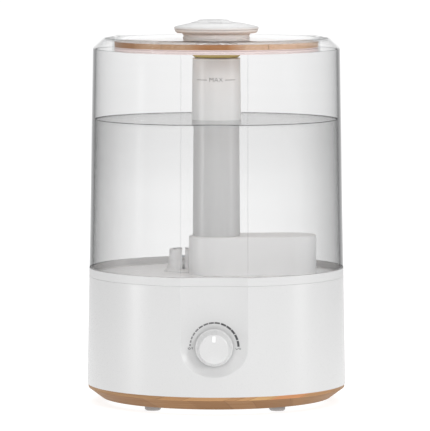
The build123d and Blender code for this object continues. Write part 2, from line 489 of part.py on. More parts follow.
tube = rev([(TUBE_RB - TUBE_T, CH_TOP), (TUBE_RB, CH_TOP), (TUBE_RT, TUBE_TOP), (TUBE_RT - TUBE_T, TUBE_TOP)])
out(tube, "mist_tube")
sleeve = rev([(18.5, SLEEVE_Z0), (SLEEVE_RB, SLEEVE_Z0), (SLEEVE_RT, SLEEVE_Z1), (17.3, SLEEVE_Z1), (17.6, TUBE_TOP + 2.2),
              (16.6, TUBE_TOP + 1.2), (16.6, TUBE_TOP), (18.5, TUBE_TOP)])
sleeve = soften(sleeve, edges_at(sleeve, SLEEVE_Z1, 18.5, 20), 0.5)
sleeve = soften(sleeve, edges_at(sleeve, SLEEVE_Z0, 19, 20), 0.4)
out(sleeve, "mist_sleeve")

# fill valve: a guard on the tank floor holds a sprung plunger, which a pin in the basin lifts
CAP0, CAP1 = V + 10.2, V + 11.6
cage = rev([(0, V), (15.7, V), (15.7, V + 0.9), (13.4, V + 3.0), (VALVE_R, V + 9.0), (VALVE_R - 0.2, VALVE_TOP), (0, VALVE_TOP)], VALVE_X, VALVE_Y)
cage = soften(cage, [e for e in cage.edges() if abs(e.bounding_box().min.Z - VALVE_TOP) < 0.05], 1.2)
cage = less(cage, slot(CH_R + 0.4, V - 1, V + 12))
cage = cage - cyl(8.5, V - 1, CAP0, VALVE_X, VALVE_Y) - cyl(9.0, CAP0, VALVE_TOP + 2, VALVE_X, VALVE_Y)
half = VALVE_GAP / 2
cage = less(cage, Pos(VALVE_X, VALVE_Y, 0) * Rot(0, 0, VALVE_TURN) * box(-half, half, -20, 20, V + 2.4, VALVE_TOP + 2))
for a in (90, 270):
    cage = less(cage, Pos(VALVE_X, VALVE_Y, 0) * Rot(0, 0, VALVE_TURN + a) * box(-3.0, 3.0, 6, 20, V + 2.4, V + 6.4))
out(cage, "valve_cage")
cap = cyl(8.9, CAP0, CAP1, VALVE_X, VALVE_Y) - cyl(2.3, V, VALVE_TOP, VALVE_X, VALVE_Y)
for a in (30, 150, 270):
    cap = cap - Pos(VALVE_X, VALVE_Y, 0) * Rot(0, 0, a) * box(5.9, 10.0, -1.6, 1.6, V, VALVE_TOP)
out(cap, "valve_cap")
plunger = cyl(2.0, V - 14.4, V + 12.8, VALVE_X, VALVE_Y) + cyl(7.4, V + 4.9, V + 6.1, VALVE_X, VALVE_Y)
out(plunger, "valve_plunger")
out(ring(2.02, 7.7, V + 3.1, V + 4.9, VALVE_X, VALVE_Y), "valve_seal")
coil_path = Helix(pitch=1.1, height=3.1, radius=4.4)
coil_plane = Plane(origin=coil_path @ 0, z_dir=coil_path % 0)
spring = sweep(coil_plane * Circle(0.4), coil_path, is_frenet=True)
out(Pos(VALVE_X, VALVE_Y, V + 6.6) * spring, "valve_spring")

# ---------------------------------------------------------------- lid
lid = rev([(COLLAR_R + 0.6, LID_PLATE0), (LID_R - LID_T, LID_PLATE0), (LID_R - LID_T, LID_Z0), (LID_R, LID_Z0), (LID_R, LIP_Z),
           (LID_FLANGE_R, LIP_Z), (LID_FLANGE_R, LID_TOP), (LID_R - LID_T, LID_TOP), (LID_R - LID_T - 1.0, LID_PLATE1),
           (COLLAR_R + 0.6, LID_PLATE1)])
lid = soften(lid, edges_at(lid, LID_TOP), 0.5)
out(lid, "lid_cover")
disc = rev([(COLLAR_R + 0.6, LID_WOOD0), (LID_R - LID_T - 0.2, LID_WOOD0), (LID_R - LID_T - 0.2, LID_WOOD1), (COLLAR_R + 0.6, LID_WOOD1)])
out(disc, "lid_wood_disc")
RING_R = LID_R - LID_T - 0.05
out(rev([(75.5, LID_Z0 + 0.4), (RING_R, LID_Z0 + 0.4), (RING_R, 282.9), (RING_R - 1.2, 283.0), (RING_R - 1.2, 283.4), (RING_R, 283.5), (RING_R, LID_WOOD0),
         (75.5, LID_WOOD0)]), "lid_retaining_ring")

N = NOZ_Z0
collar = rev([
    (14.2, 272.6), (COLLAR_R, 272.6), (COLLAR_R, LID_PLATE1), (27.0, LID_PLATE1), (26.3, LID_PLATE1 + 0.8), (26.3, LID_PLATE1 + 1.8),
    (26.7, LID_PLATE1 + 2.8), (27.8, N - 0.3), (20.0, N - 0.3), (20.0, N + 4.7), (18.0, N + 4.7), (16.2, N - 1.5), (14.2, N - 4.5),
])
out(collar, "nozzle_collar")
out(rev([(COLLAR_R + 0.05, 275.5), (17.4, 275.5), (19.0, 276.6), (19.4, 278.2), (18.4, 278.5), (18.4, LID_WOOD0), (COLLAR_R + 0.05, LID_WOOD0)]), "collar_nut")

# ---------------------------------------------------------------- nozzle
under_ring = rev([(20.4, N), (31.6, N), (33.0, N + 1.3), (33.4, N + 2.75), (31.0, N + 2.75), (31.0, N + 4.0), (29.6, N + 4.0), (29.6, N + 1.8),
                  (22.2, N + 1.8), (22.2, N + 4.2), (20.4, N + 4.2)])
out(under_ring, "nozzle_base")
HOOD_X, HOOD_Y = -2.3, 1.5
dome = rev([
    (31.05, N + 3.0), (NOZ_R - 0.2, N + 3.0), (NOZ_R, N + 3.5), (NOZ_R - 0.1, N + 4.4), (33.0, N + 5.1), (30.7, N + 5.75), (27.5, N + 6.45), (24.3, N + 7.15), (21.3, N + 7.85),
    (19.5, N + 8.0), (0, N + 8.1), (0, N + 6.3), (19.5, N + 6.2), (24.3, N + 5.3), (28.8, N + 4.4), (31.05, N + 4.0),
])
dome = dome - cyl(7.6, N, N + 12, HOOD_X, HOOD_Y)
out(dome, "nozzle_cap")
hood = rev([(0, N + 11.0), (7.6, N + 10.8), (11.2, N + 10.45), (12.3, N + 10.0), (12.7, N + 9.6), (15.6, N + 8.85), (17.6, N + 8.3), (17.8, N + 8.12), (7.5, N + 8.12),
            (7.5, N + 6.8), (6.4, N + 6.8), (6.4, N + 9.6), (0, N + 9.8)], HOOD_X, HOOD_Y)
hood = hood + rev([(0, N + 10.4), (3.4, N + 10.4), (3.2, N + 11.05), (0, NOZ_TOP)], HOOD_X + 4.2, HOOD_Y)
vent = box(HOOD_X - 4.4, HOOD_X + 6.8, HOOD_Y - 22, HOOD_Y - 4, N + 8.3, N + 9.05)
hood = less(hood, soften(vent, vent.edges().filter_by(Axis.Y), 0.34))
out(hood, "nozzle_hood")
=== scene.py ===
import json
import math
import bpy
import bmesh
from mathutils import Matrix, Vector

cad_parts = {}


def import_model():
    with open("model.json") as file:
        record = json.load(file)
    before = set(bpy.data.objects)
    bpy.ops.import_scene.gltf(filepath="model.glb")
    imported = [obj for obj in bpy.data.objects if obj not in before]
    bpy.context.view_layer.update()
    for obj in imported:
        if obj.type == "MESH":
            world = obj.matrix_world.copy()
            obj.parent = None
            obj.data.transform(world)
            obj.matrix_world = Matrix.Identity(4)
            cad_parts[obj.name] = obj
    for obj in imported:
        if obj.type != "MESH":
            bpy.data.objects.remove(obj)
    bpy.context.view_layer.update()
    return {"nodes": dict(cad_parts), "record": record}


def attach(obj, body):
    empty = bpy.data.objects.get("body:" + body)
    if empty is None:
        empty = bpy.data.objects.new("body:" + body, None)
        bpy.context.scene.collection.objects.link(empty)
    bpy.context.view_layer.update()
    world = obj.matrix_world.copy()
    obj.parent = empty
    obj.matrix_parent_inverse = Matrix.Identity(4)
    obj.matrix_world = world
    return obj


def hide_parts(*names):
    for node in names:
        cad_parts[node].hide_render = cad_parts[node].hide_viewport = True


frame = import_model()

MM = 0.001
NODES = frame["nodes"]
scene = bpy.context.scene

# ------------------------------------------------------------------ sizes that the picture-only pieces follow (mm)
DRAFT = 0.01818                       # the outer wall leans in by this much per mm of height
LEAN = math.atan(DRAFT)
WALL_T = 2.6
FLUTE_R, FLUTE_D = 88.0, 7.4
KNOB_Z = 53.4
BOWL_H = 21.5
BOWL_R = (BOWL_H ** 2 + FLUTE_D ** 2) / (2 * FLUTE_D)
PIVOT = BOWL_R - FLUTE_R
WATER_Z = 225.7
FLOOR_TOP = 102.2
VALVE_X, VALVE_Y = -26.8, 22.4
MAX_Z = 258.0
LIP_SPLIT = 282.6                     # height where the tank's wall ends and its shoulder and lip begin


def wall_r(z):
    return 103.4 - DRAFT * (z - 13.8)


FLUTE_Y = -(wall_r(KNOB_Z) + FLUTE_R - FLUTE_D)


# ------------------------------------------------------------------ node helpers
def fresh(name):
    m = bpy.data.materials.new(name)
    m.use_nodes = True
    nt = m.node_tree
    nt.nodes.clear()
    return m, nt, nt.nodes.new("ShaderNodeOutputMaterial")


def new(nt, kind, inputs=None, **attrs):
    n = nt.nodes.new(kind)
    for k, v in attrs.items():
        setattr(n, k, v)
    for k, v in (inputs or {}).items():
        if isinstance(v, bpy.types.NodeSocket):
            nt.links.new(v, n.inputs[k])
        else:
            n.inputs[k].default_value = v
    return n


def math_node(nt, op, a, b=0.0, c=None):
    n = nt.nodes.new("ShaderNodeMath")
    n.operation = op
    for i, v in enumerate((a, b, c)):
        if v is None:
            continue
        if isinstance(v, bpy.types.NodeSocket):
            nt.links.new(v, n.inputs[i])
        else:
            n.inputs[i].default_value = v
    return n.outputs[0]


def ramp(nt, fac, stops, mode="LINEAR"):
    n = nt.nodes.new("ShaderNodeValToRGB")
    n.color_ramp.interpolation = mode
    el = n.color_ramp.elements
    while len(el) > 1:
        el.remove(el[-1])
    for i, (pos, col) in enumerate(stops):
        e = el[0] if i == 0 else el.new(pos)
        e.position = pos
        if not hasattr(col, "__len__"):
            col = (col, col, col)
        e.color = (*col[:3], 1.0)
    nt.links.new(fac, n.inputs["Fac"])
    return n.outputs["Color"]


def spread(nt, fac, lo, hi, a, b):
    return new(nt, "ShaderNodeMapRange", {"Value": fac, "From Min": lo, "From Max": hi, "To Min": a, "To Max": b}).outputs["Result"]


def mix_colour(nt, fac, a, b, mode="MIX"):
    n = nt.nodes.new("ShaderNodeMix")
    n.data_type = "RGBA"
    n.blend_type = mode
    for sock, v in ((n.inputs[0], fac), (n.inputs[6], a), (n.inputs[7], b)):
        if isinstance(v, bpy.types.NodeSocket):
            nt.links.new(v, sock)
        elif hasattr(v, "__len__"):
            sock.default_value = (*v[:3], 1.0)
        else:
            sock.default_value = v
    return n.outputs[2]


def coords(nt):
    return new(nt, "ShaderNodeTexCoord").outputs["Object"]


def scaled(nt, vec, sx, sy, sz):
    return new(nt, "ShaderNodeMapping", {"Vector": vec, "Scale": (sx, sy, sz)}).outputs["Vector"]


def noise(nt, vec, scale, detail=2.0, rough=0.5):
    return new(nt, "ShaderNodeTexNoise", {"Vector": vec, "Scale": scale, "Detail": detail, "Roughness": rough}).outputs["Fac"]


# ------------------------------------------------------------------ materials
def moulded(name, colour, rough, vary=0.02, grain=900.0, bump=0.15, depth=0.00003, coat=0.0, sss=0.0, spec=0.5):
    """Moulded plastic or rubber: faint tone drift, fine spark-eroded texture in the roughness and the surface."""
    m, nt, out = fresh(name)
    co = coords(nt)
    cloud = noise(nt, co, 14.0, 3.0)
    fine = noise(nt, co, grain, 2.0)
    lo = tuple(max(0.0, c * (1 - vary)) for c in colour)
    hi = tuple(min(1.0, c * (1 + vary)) for c in colour)
    base = ramp(nt, cloud, [(0.3, lo), (0.7, hi)])
    p = new(nt, "ShaderNodeBsdfPrincipled", {
        "Base Color": base, "Roughness": spread(nt, fine, 0.3, 0.7, rough - 0.05, rough + 0.05), "Specular IOR Level": spec,
        "Normal": new(nt, "ShaderNodeBump", {"Strength": bump, "Distance": depth, "Height": fine}).outputs["Normal"]})
    if coat:
        p.inputs["Coat Weight"].default_value = coat
        p.inputs["Coat Roughness"].default_value = 0.08
    if sss:
        p.inputs["Subsurface Weight"].default_value = sss
        p.inputs["Subsurface Radius"].default_value = (0.004, 0.004, 0.004)
        p.inputs["Subsurface Scale"].default_value = 1.0
    nt.links.new(p.outputs[0], out.inputs["Surface"])
    return m


def metal(name, colour, rough, stretch=(40.0, 40.0, 1400.0), vary=0.06, bump=0.1):
    m, nt, out = fresh(name)
    co = coords(nt)
    lines = noise(nt, scaled(nt, co, *stretch), 1.0, 3.0, 0.6)
    cloud = noise(nt, co, 160.0, 3.0)
    lo = tuple(c * (1 - vary) for c in colour)
    hi = tuple(min(1.0, c * (1 + vary)) for c in colour)
    p = new(nt, "ShaderNodeBsdfPrincipled", {
        "Base Color": ramp(nt, cloud, [(0.3, lo), (0.7, hi)]), "Metallic": 1.0,
        "Roughness": spread(nt, lines, 0.3, 0.7, rough - 0.07, rough + 0.07),
        "Normal": new(nt, "ShaderNodeBump", {"Strength": bump, "Distance": 0.00003, "Height": lines}).outputs["Normal"]})
    nt.links.new(p.outputs[0], out.inputs["Surface"])
    return m


def thin_gloss(nt, facing, lowest, most, steep=5.0):
    """Share of light that a thin gloss throws back: little when seen square on, more at grazing angles."""
    return math_node(nt, "MULTIPLY_ADD", math_node(nt, "POWER", facing, steep), most, lowest)


def clear(name, tint, density, lowest, most, rough=0.04, steep=5.0, flat=False):
    """Clear moulding: it passes light straight on, takes a little of it along the way, and has a thin gloss."""
    m, nt, out = fresh(name)
    co = coords(nt)
    smear = noise(nt, scaled(nt, co, 9.0, 9.0, 3.0), 1.0, 3.0)
    wave = noise(nt, scaled(nt, co, 26.0, 26.0, 7.0), 1.0, 1.0)
    normal = new(nt, "ShaderNodeBump", {"Strength": 0.06, "Distance": 0.0004, "Height": wave}).outputs["Normal"]
    passed = new(nt, "ShaderNodeBsdfTransparent", {"Color": (1, 1, 1, 1)})
    weight = {"Blend": 0.5}
    if flat:
        # a flat plate is shaded by its faces, and only where light enters it, as its underside lies on the wood
        geometry = new(nt, "ShaderNodeNewGeometry").outputs
        normal = weight["Normal"] = geometry["True Normal"]
    gloss = new(nt, "ShaderNodeBsdfGlossy", {"Color": (1, 1, 1, 1), "Roughness": spread(nt, smear, 0.3, 0.7, rough, rough + 0.05), "Normal": normal})
    facing = new(nt, "ShaderNodeLayerWeight", weight).outputs["Facing"]
    share = thin_gloss(nt, facing, lowest, most, steep)
    if flat:
        share = math_node(nt, "MULTIPLY", share, math_node(nt, "SUBTRACT", 1.0, geometry["Backfacing"]))
    mix = new(nt, "ShaderNodeMixShader", {0: share, 1: passed.outputs[0], 2: gloss.outputs[0]})
    vol = new(nt, "ShaderNodeVolumeAbsorption", {"Color": (*tint, 1.0), "Density": density})
    nt.links.new(mix.outputs[0], out.inputs["Surface"])
    nt.links.new(vol.outputs[0], out.inputs["Volume"])
    return m


def liquid(name, stops, lowest, most, rough, ripple):
    """Water: the tint it gives grows toward grazing angles, as it does on a round vessel."""
    m, nt, out = fresh(name)
    co = coords(nt)
    wave = noise(nt, co, 34.0, 2.0)
    normal = new(nt, "ShaderNodeBump", {"Strength": ripple, "Distance": 0.001, "Height": wave}).outputs["Normal"]
    facing = new(nt, "ShaderNodeLayerWeight", {"Blend": 0.5}).outputs["Facing"]
    passed = new(nt, "ShaderNodeBsdfTransparent", {"Color": ramp(nt, facing, stops)})
    gloss = new(nt, "ShaderNodeBsdfGlossy", {"Color": (1, 1, 1, 1), "Roughness": rough, "Normal": normal})
    mix = new(nt, "ShaderNodeMixShader", {0: thin_gloss(nt, facing, lowest, most), 1: passed.outputs[0], 2: gloss.outputs[0]})
    nt.links.new(mix.outputs[0], out.inputs["Surface"])
    return m


# tones of the bamboo, light to dark, and darker ones for the plinth's chamfer: painted shade, as the chamfer faces down
# toward the floor
TONES = {"straw": (0.575, 0.345, 0.155), "honey": (0.50, 0.28, 0.128), "amber": (0.44, 0.24, 0.108), "russet": (0.585, 0.262, 0.115),
         "umber": (0.355, 0.202, 0.094), "tan": (0.305, 0.160, 0.065), "chestnut": (0.266, 0.133, 0.050),
         "cream": (0.78, 0.53, 0.37), "pale": (0.60, 0.385, 0.24), "warm": (0.50, 0.245, 0.112), "shade": (0.41, 0.215, 0.10)}
# strips of the plinth's band and chamfer: where each begins (degrees round from the front, to the right) and its tone
BAND = [(-180, "honey"), (-150, "amber"), (-118, "honey"), (-88, "umber"), (-25, "amber"), (-13, "honey"), (5.6, "amber"), (10.5, "honey"),
        (16.5, "straw"), (25.5, "russet"), (42.5, "amber"), (62, "umber"), (92, "honey"), (124, "amber"), (155, "straw")]
FACET_SHADED = [(-180, "chestnut"), (-140, "tan"), (-96, "chestnut"), (-31, "tan"), (-9, "chestnut"), (7, "tan"), (19.5, "chestnut"), (38, "tan"), (88, "chestnut"), (133, "tan")]
# tone along the lid's disc, from its left end to its right end (mm): painted light and shade, darker at the left end
# and lighter toward the right
DISC_PAINTED_LIGHT = [(-80, "shade"), (-66, "shade"), (-57, "pale"), (-22, "pale"), (-8, "warm"), (10, "warm"), (26, "cream"), (66, "cream"), (80, "pale")]


def strips(nt, turn, table, seam_w):
    """Colour of the strip at an angle in degrees, and how near its end is."""
    at = spread(nt, turn, -180.0, 180.0, 0.0, 1.0)
    colour = ramp(nt, at, [((a + 180) / 360, TONES[c]) for a, c in table], "CONSTANT")
    near = None
    for a, _ in table[1:]:
        d = math_node(nt, "ABSOLUTE", math_node(nt, "SUBTRACT", turn, float(a)))
        near = d if near is None else math_node(nt, "MINIMUM", near, d)
    return colour, spread(nt, near, 0.0, seam_w, 0.7, 0.0)


def bamboo(name, ring):
    """Laminated bamboo. The ring is two bands of scarfed strips bent round it, the lower band painted darker as shade;
    the disc is planks along X.
    """
    m, nt, out = fresh(name)
    co = coords(nt)
    xyz = new(nt, "ShaderNodeSeparateXYZ", {"Vector": co}).outputs
    if ring:
        ang = math_node(nt, "ARCTAN2", xyz[0], math_node(nt, "MULTIPLY", xyz[1], -1.0))
        deg = math_node(nt, "MULTIPLY", ang, 180 / math.pi)
        wob = math_node(nt, "MULTIPLY", noise(nt, co, 60.0, 2.0), 1.2)
        deg = math_node(nt, "ADD", deg, wob)
        along = math_node(nt, "MULTIPLY", ang, 0.1)
        upper, line_u = strips(nt, math_node(nt, "MULTIPLY_ADD", xyz[2], -1700.0, math_node(nt, "ADD", deg, 21.5)), BAND, 0.35)
        # the chamfer's strips take darker tones: painted shade where the wood faces down
        lower, line_l = strips(nt, math_node(nt, "MULTIPLY_ADD", xyz[2], 620.0, math_node(nt, "ADD", deg, -5.4)), FACET_SHADED, 0.3)
        layer = math_node(nt, "GREATER_THAN", xyz[2], 0.01198)
        base = mix_colour(nt, layer, lower, upper)
        line = math_node(nt, "ADD", math_node(nt, "MULTIPLY", layer, line_u), math_node(nt, "MULTIPLY", math_node(nt, "SUBTRACT", 1.0, layer), line_l))
        across = xyz[2]
        dark = (0.20, 0.095, 0.036)
    else:
        along = xyz[0]
        across = xyz[1]
        strip = math_node(nt, "DIVIDE", math_node(nt, "ADD", xyz[1], 0.5), 0.0205)
        tone = new(nt, "ShaderNodeTexWhiteNoise", {"W": math_node(nt, "FLOOR", strip)}, noise_dimensions="1D").outputs["Value"]
        # the tone along X is painted light and shade across the disc; the planks' own tones multiply it below
        base = ramp(nt, spread(nt, xyz[0], -0.080, 0.080, 0.0, 1.0), [((x + 80) / 160, TONES[c]) for x, c in DISC_PAINTED_LIGHT])
        base = mix_colour(nt, 1.0, base, ramp(nt, tone, [(0.0, 0.86), (1.0, 1.0)]), "MULTIPLY")
        pos = math_node(nt, "FRACT", strip)
        line = spread(nt, math_node(nt, "MINIMUM", pos, math_node(nt, "SUBTRACT", 1.0, pos)), 0.0, 0.02, 0.6, 0.0)
        dark = (0.25, 0.11, 0.045)
    grain_at = new(nt, "ShaderNodeCombineXYZ", {"X": math_node(nt, "MULTIPLY", along, 26.0), "Y": math_node(nt, "MULTIPLY", across, 800.0),
                                                "Z": math_node(nt, "MULTIPLY", xyz[2], 800.0)}).outputs[0]
    grain = noise(nt, grain_at, 1.0, 4.0, 0.62)
    fibre_at = new(nt, "ShaderNodeCombineXYZ", {"X": math_node(nt, "MULTIPLY", along, 170.0), "Y": math_node(nt, "MULTIPLY", across, 2300.0),
                                                "Z": math_node(nt, "MULTIPLY", xyz[2], 2300.0)}).outputs[0]
    fibre = noise(nt, fibre_at, 1.0, 2.0, 0.5)
    base = mix_colour(nt, spread(nt, grain, 0.42, 0.75, 0.0, 0.5), base, dark)
    base = mix_colour(nt, spread(nt, fibre, 0.60, 0.74, 0.0, 0.28), base, dark)
    base = mix_colour(nt, line, base, (0.15, 0.068, 0.028))
    height = math_node(nt, "SUBTRACT", grain, math_node(nt, "MULTIPLY", line, 1.2))
    relief = {"Strength": 0.25, "Distance": 0.00012, "Height": height}
    face = new(nt, "ShaderNodeNewGeometry").outputs["True Normal"]
    if not ring:
        relief["Normal"] = face
    p = new(nt, "ShaderNodeBsdfPrincipled", {
        "Base Color": base, "Roughness": spread(nt, grain, 0.3, 0.7, 0.44, 0.58), "Specular IOR Level": 0.3 if ring else 0.1,
        "Normal": new(nt, "ShaderNodeBump", relief).outputs["Normal"]})
    top = p.outputs[0]
    if not ring:
        # the disc's top lies against the clear plate, so it throws light back when seen at a grazing angle
        up = spread(nt, new(nt, "ShaderNodeSeparateXYZ", {"Vector": face}).outputs[2], 0.6, 0.9, 0.0, 1.0)
        facing = new(nt, "ShaderNodeLayerWeight", {"Blend": 0.5, "Normal": face}).outputs["Facing"]
        sheen = new(nt, "ShaderNodeBsdfGlossy", {"Color": (1, 1, 1, 1), "Roughness": 0.75, "Normal": face})
        top = new(nt, "ShaderNodeMixShader", {0: math_node(nt, "MULTIPLY", up, thin_gloss(nt, facing, 0.0, 1.0, 7.0)), 1: top, 2: sheen.outputs[0]}).outputs[0]
    nt.links.new(top, out.inputs["Surface"])
    return m


def board(name):
    m, nt, out = fresh(name)
    co = coords(nt)
    brick = new(nt, "ShaderNodeTexBrick", {"Vector": co, "Color1": (0.05, 0.22, 0.09, 1), "Color2": (0.06, 0.25, 0.11, 1),
                                           "Mortar": (0.10, 0.34, 0.16, 1), "Scale": 110.0, "Mortar Size": 0.06}).outputs["Color"]
    dots = new(nt, "ShaderNodeTexVoronoi", {"Vector": co, "Scale": 330.0}).outputs["Distance"]
    base = mix_colour(nt, spread(nt, dots, 0.10, 0.16, 1.0, 0.0), brick, (0.62, 0.60, 0.55))
    p = new(nt, "ShaderNodeBsdfPrincipled", {"Base Color": base, "Roughness": spread(nt, noise(nt, co, 300.0), 0.3, 0.7, 0.25, 0.4)})
    nt.links.new(p.outputs[0], out.inputs["Surface"])
    return m


def foam(name):
    m, nt, out = fresh(name)
    co = coords(nt)
    cell = new(nt, "ShaderNodeTexVoronoi", {"Vector": co, "Scale": 900.0}).outputs["Distance"]
    p = new(nt, "ShaderNodeBsdfPrincipled", {
        "Base Color": ramp(nt, cell, [(0.1, (0.03, 0.03, 0.032)), (0.6, (0.09, 0.09, 0.095))]),
        "Roughness": spread(nt, cell, 0.0, 0.7, 0.95, 0.8),
        "Normal": new(nt, "ShaderNodeBump", {"Strength": 0.7, "Distance": 0.0004, "Height": cell}).outputs["Normal"]})
    nt.links.new(p.outputs[0], out.inputs["Surface"])
    return m


SLOT = {
    "white_plastic": moulded("white_plastic", (0.64, 0.64, 0.64), 0.31, vary=0.006, grain=1500.0, bump=0.08),
    "frosted_plastic": moulded("frosted_plastic", (0.67, 0.67, 0.67), 0.34, vary=0.01, grain=1100.0, bump=0.08),
    "clear_plastic": clear("clear_plastic", (0.5, 0.502, 0.506), 66.0, 0.001, 0.06),
    "clear_ring": moulded("clear_ring", (0.86, 0.73, 0.71), 0.42, vary=0.02, grain=700.0, bump=0.05),
    "tan_plastic": moulded("tan_plastic", (0.58, 0.46, 0.17), 0.2, vary=0.04, coat=0.4),
    "pointer_white": moulded("pointer_white", (0.95, 0.95, 0.95), 0.3, vary=0.01),
    "foot_rubber": moulded("foot_rubber", (0.36, 0.34, 0.335), 0.75, vary=0.12, grain=1300.0, bump=0.4),
    "silicone": moulded("silicone", (0.66, 0.66, 0.64), 0.55, vary=0.03),
    "screw_steel": metal("screw_steel", (0.60, 0.60, 0.62), 0.30),
    "piezo_metal": metal("piezo_metal", (0.72, 0.66, 0.52), 0.22, stretch=(900.0, 60.0, 60.0)),
    "cast_aluminium": metal("cast_aluminium", (0.70, 0.71, 0.72), 0.42, stretch=(600.0, 600.0, 600.0), bump=0.3),
    "float_plastic": moulded("float_plastic", (0.70, 0.76, 0.80), 0.38, vary=0.02),
    "magnet": moulded("magnet", (0.06, 0.06, 0.065), 0.5, vary=0.2),
    "board_green": board("board_green"),
    "black_plastic": moulded("black_plastic", (0.022, 0.022, 0.024), 0.45, vary=0.15),
    "capacitor_sleeve": moulded("capacitor_sleeve", (0.02, 0.035, 0.09), 0.3, vary=0.1),
    "connector_nylon": moulded("connector_nylon", (0.74, 0.70, 0.58), 0.45, vary=0.04),
    "copper": metal("copper", (0.72, 0.36, 0.19), 0.28, stretch=(50.0, 50.0, 2600.0), bump=0.5),
    "foam": foam("foam"),
    "lead_black": moulded("lead_black", (0.02, 0.02, 0.02), 0.4, vary=0.15),
    "lead_red": moulded("lead_red", (0.42, 0.03, 0.025), 0.4, vary=0.1),
}
BAMBOO_RING = bamboo("bamboo_ring", True)
BAMBOO_DISC = bamboo("bamboo_disc", False)
# painted light: the mist chamber, valve cage and cap take a lighter copy of the white plastic, standing in for light
# inside the tank
CHAMBER_WHITE = moulded("chamber_white", (0.91, 0.91, 0.91), 0.42, vary=0.008, grain=1200.0, bump=0.08)
PRINT_DARK = moulded("print_dark", (0.07, 0.07, 0.075), 0.55, vary=0.08)
PRINT_MID = moulded("print_mid", (0.13, 0.13, 0.133), 0.55, vary=0.06)
PRINT_SOFT = moulded("print_soft", (0.22, 0.22, 0.225), 0.55, vary=0.06)
# painted light: the mist sleeve takes a lighter copy of the frosted plastic
SLEEVE_WHITE = moulded("sleeve_white", (0.862, 0.876, 0.88), 0.36, vary=0.01, grain=1100.0, bump=0.08)
LID_CLEAR = clear("lid_clear", (0.5, 0.502, 0.506), 4.0, 0.002, 0.95, steep=5.0, flat=True)
LIP_CLEAR = clear("lip_clear", (0.5, 0.502, 0.506), 16.0, 0.003, 0.2)
# painted light: the nozzle's cap and hood take a lighter copy of the white plastic
CAP_WHITE = moulded("cap_white", (0.90, 0.90, 0.90), 0.40, vary=0.006, grain=1500.0, bump=0.08)


def painted_shade_on_top(m, top_shade_tone):
    """Paints shade on a moulding where it faces up: its top is darkened, as if less light fell on it."""
    nt = m.node_tree
    base = next(n for n in nt.nodes if n.type == "BSDF_PRINCIPLED").inputs["Base Color"]
    z = new(nt, "ShaderNodeSeparateXYZ", {"Vector": new(nt, "ShaderNodeNewGeometry").outputs["Normal"]}).outputs[2]
    tone = ramp(nt, spread(nt, z, 0.15, 0.85, 0.0, 1.0), [(0.0, 1.0), (1.0, top_shade_tone)])
    source = base.links[0].from_socket if base.links else tuple(base.default_value[:3])
    nt.links.new(mix_colour(nt, 1.0, source, tone, "MULTIPLY"), base)


# painted shade: the nozzle cap's upward faces are darkened
painted_shade_on_top(CAP_WHITE, 0.62)
# painted light: the nozzle's neck takes a lighter copy of the white plastic, for the shade under the nozzle's overhang
NECK_WHITE = moulded("neck_white", (0.97, 0.97, 0.97), 0.45, vary=0.006, grain=1500.0, bump=0.08)
# painted light: the tank's floor and the valve's strainer take a lighter copy of the white plastic
FLOOR_WHITE = moulded("floor_white", (0.98, 0.98, 0.98), 0.45, vary=0.006, grain=1500.0, bump=0.08)
# the rim of the tank's floor has the tone of the base; inside the tank it is painted lighter, standing in for the light
# that the lid keeps off it
fnt = FLOOR_WHITE.node_tree
fxyz = new(fnt, "ShaderNodeSeparateXYZ", {"Vector": coords(fnt)}).outputs
far = math_node(fnt, "SQRT", math_node(fnt, "MULTIPLY_ADD", fxyz[0], fxyz[0], math_node(fnt, "MULTIPLY", fxyz[1], fxyz[1])))
fbsdf = next(n for n in fnt.nodes if n.type == "BSDF_PRINCIPLED")
inside = fbsdf.inputs["Base Color"].links[0].from_socket
outer = math_node(fnt, "MAXIMUM", spread(fnt, far, 0.1003, 0.1008, 0.0, 1.0), spread(fnt, fxyz[1], -0.0930, -0.0935, 0.0, 1.0))
fnt.links.new(mix_colour(fnt, outer, inside, (0.64, 0.64, 0.64)), fbsdf.inputs["Base Color"])
# dark absorbing plastic for the beads and rings that paint shade lines on the clear tank's edges
EDGE_PAINTED_SHADE = clear("edge_clear", (0.5, 0.5, 0.505), 70.0, 0.0, 0.05)
BEAD_PAINTED_SHADE = clear("bead_clear", (0.5, 0.5, 0.505), 420.0, 0.0, 0.05)
WATER_IN = liquid("water_in", [(0.0, 1.0), (1.0, 0.985)], 0.0, 0.02, 0.02, 0.0)
WATER_SIDE = liquid("water_side", [(0.0, 0.955), (0.134, 0.950), (0.276, 0.930), (0.362, 0.908), (0.473, 0.868), (0.564, 0.846), (0.66, 0.825), (0.76, 0.79), (1.0, 0.70)],
                    0.0, 0.02, 0.02, 0.0)
WATER_TOP = liquid("water_top", [(0.0, 0.95), (0.6, 0.88), (0.93, 0.77), (1.0, 0.73)], 0.01, 0.12, 0.03, 0.03)
WATER_RIM = liquid("water_rim", [(0.0, 0.62), (0.6, 0.48), (1.0, 0.34)], 0.0, 0.02, 0.05, 0.0)

slot_of = {s["node"]: s["material_slot"] for s in frame["record"]["subparts"]}
for n, ob in NODES.items():
    m = SLOT.get(slot_of.get(n))
    if n == "plinth_wood_ring":
        m = BAMBOO_RING
    elif n == "lid_wood_disc":
        m = BAMBOO_DISC
    elif n in ("mist_chamber", "valve_cage", "valve_cap"):
        m = CHAMBER_WHITE
    elif n == "tank_floor":
        m = FLOOR_WHITE
    elif n in ("nozzle_cap", "nozzle_hood"):
        m = CAP_WHITE
    elif n in ("nozzle_base", "nozzle_collar"):
        m = NECK_WHITE
    elif n == "lid_cover":
        m = LID_CLEAR
    elif n == "mist_sleeve":
        m = SLEEVE_WHITE
    ob.data.materials.clear()
    ob.data.materials.append(m)


